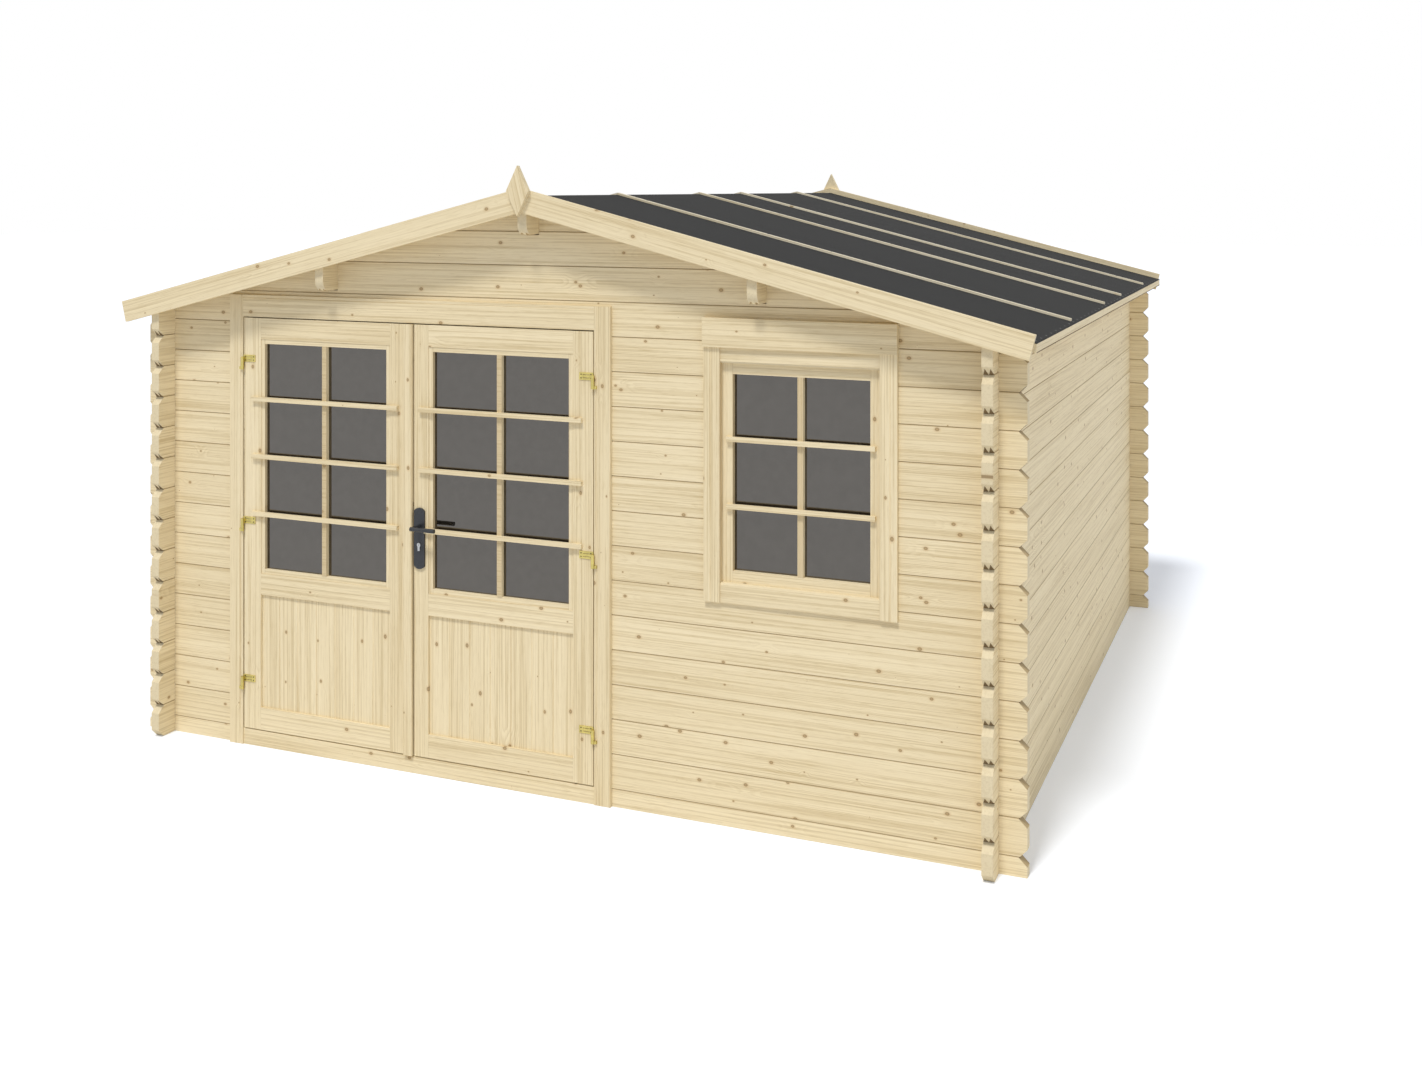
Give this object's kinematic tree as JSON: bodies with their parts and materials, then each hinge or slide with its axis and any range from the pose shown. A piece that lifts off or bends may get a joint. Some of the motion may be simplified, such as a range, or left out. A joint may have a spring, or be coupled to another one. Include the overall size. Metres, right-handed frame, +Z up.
{
  "type": "garden shed",
  "caption": "Log garden shed with a double glazed door, a window, a felted saddle roof, notched corners and a board floor.",
  "frame": {"origin": "middle of the footprint on the ground, on the underside of the middle floor bearer", "axes": "+X to the right along the front, +Y to the back, +Z up"},
  "size_m": [4, 3.98, 2.4899],
  "materials": {
    "pine": "planed",
    "felt": "matt mineral felt",
    "glass": "clear",
    "brass": "plated",
    "black_metal": "satin black",
    "steel": "brushed"
  },
  "bodies": {
    "root": {"left_wall_logs": "pine", "right_wall_logs": "pine", "back_wall_logs": "pine", "back_gable_logs": "pine", "front_wall_left_logs": "pine", "front_wall_below_window_logs": "pine", "front_wall_middle_logs": "pine", "front_wall_corner_logs": "pine", "front_base_logs": "pine", "front_lintel_log": "pine", "front_gable_logs": "pine", "ridge_purlin": "pine", "left_purlin": "pine", "right_purlin": "pine", "roof_deck_left": "pine", "roof_deck_right": "pine", "roof_felt_left": "felt", "roof_felt_right": "felt", "eave_board_left": "pine", "eave_board_right": "pine", "roof_battens_left": "pine", "roof_battens_right": "pine", "front_bargeboard_left": "pine", "front_bargeboard_right": "pine", "back_bargeboard_left": "pine", "back_bargeboard_right": "pine", "front_finial": "pine", "back_finial": "pine", "floor_bearers": "pine", "floor_deck": "pine", "door_post_left": "pine", "door_post_right": "pine", "door_head": "pine", "door_sill": "pine", "door_hinge_pins": "brass", "window_frame": "pine", "window_header_boards": "pine", "window_sash": "pine", "window_glass": "glass", "window_bars": "pine"},
    "left_door": {"left_door_frame": "pine", "left_door_panel": "pine", "left_door_glass": "glass", "left_door_beads": "pine", "left_door_bars": "pine", "left_door_hinges": "brass", "left_door_meeting_strip": "pine"},
    "right_door": {"right_door_frame": "pine", "right_door_panel": "pine", "right_door_glass": "glass", "right_door_beads": "pine", "right_door_bars": "pine", "right_door_hinges": "brass", "right_door_handle_plates": "black_metal", "right_door_lock_cylinder": "steel"},
    "lever": {"door_lever": "black_metal"}
  },
  "joints": [
    {"name": "left_door_hinge", "type": "hinge", "parent": "root", "child": "left_door", "pos_m": [-1.4215, -1.8728, 0.97], "axis": [0, 0, -1], "range_deg": [0, 120]},
    {"name": "right_door_hinge", "type": "hinge", "parent": "root", "child": "right_door", "pos_m": [0.2695, -1.8728, 0.97], "axis": [0, 0, 1], "range_deg": [0, 120]},
    {"name": "lever_turn", "type": "hinge", "parent": "right_door", "child": "lever", "pos_m": [-0.526, -1.8425, 1.016], "axis": [0, 1, 0], "range_deg": [0, 45], "stiffness_Nm_per_rad": 1.5, "springref_deg": -11.46}
  ]
}
